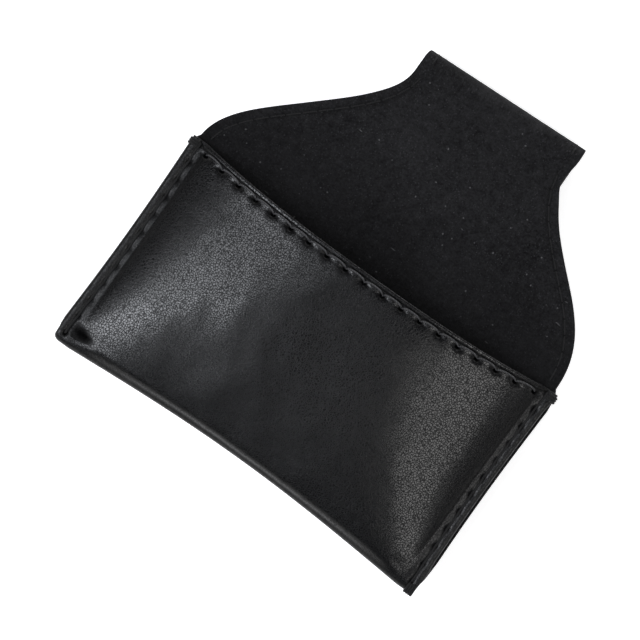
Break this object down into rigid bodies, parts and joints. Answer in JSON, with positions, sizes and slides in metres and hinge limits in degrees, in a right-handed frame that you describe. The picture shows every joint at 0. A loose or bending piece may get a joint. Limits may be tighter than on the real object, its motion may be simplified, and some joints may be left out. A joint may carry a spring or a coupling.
{
  "type": "pick holder",
  "caption": "Stitched leather pocket for guitar picks on a velour-lined back panel, whose neck folds over a strap or belt and snaps shut behind the pocket.",
  "frame": {"origin": "bottom centre of the bounding box, on the surface that the holder lies on", "axes": "+X across the holder, +Y from the pocket's bottom fold up to the strap fold, +Z out of the pocket's front"},
  "size_m": [0.1014, 0.1044, 0.019],
  "materials": {
    "leather": "glossy pebble grain",
    "lining": "matt velour",
    "thread": "waxed thread",
    "metal": "nickel plated"
  },
  "bodies": {
    "holder": {"front_leather": "leather", "front_lining": "lining", "back_leather": "leather", "back_lining": "lining", "mouth_thread": "thread", "left_seam_thread": "thread", "right_seam_thread": "thread", "panel_edge_thread": "thread", "snap_stud": "metal", "snap_post": "metal", "fold_leather": "leather", "fold_lining": "lining", "fold_thread": "thread"},
    "tongue": {"tongue_leather": "leather", "tongue_lining": "lining", "tongue_thread": "thread", "snap_cap": "metal", "snap_socket": "metal", "snap_spring": "metal"}
  },
  "joints": [
    {"name": "loop_hinge", "type": "hinge", "parent": "holder", "child": "tongue", "pos_m": [0.0025, 0.05145, 0.005], "axis": [1, 0, 0], "range_deg": [0, 150], "deforming": ["fold_leather", "fold_lining", "fold_thread"]}
  ]
}
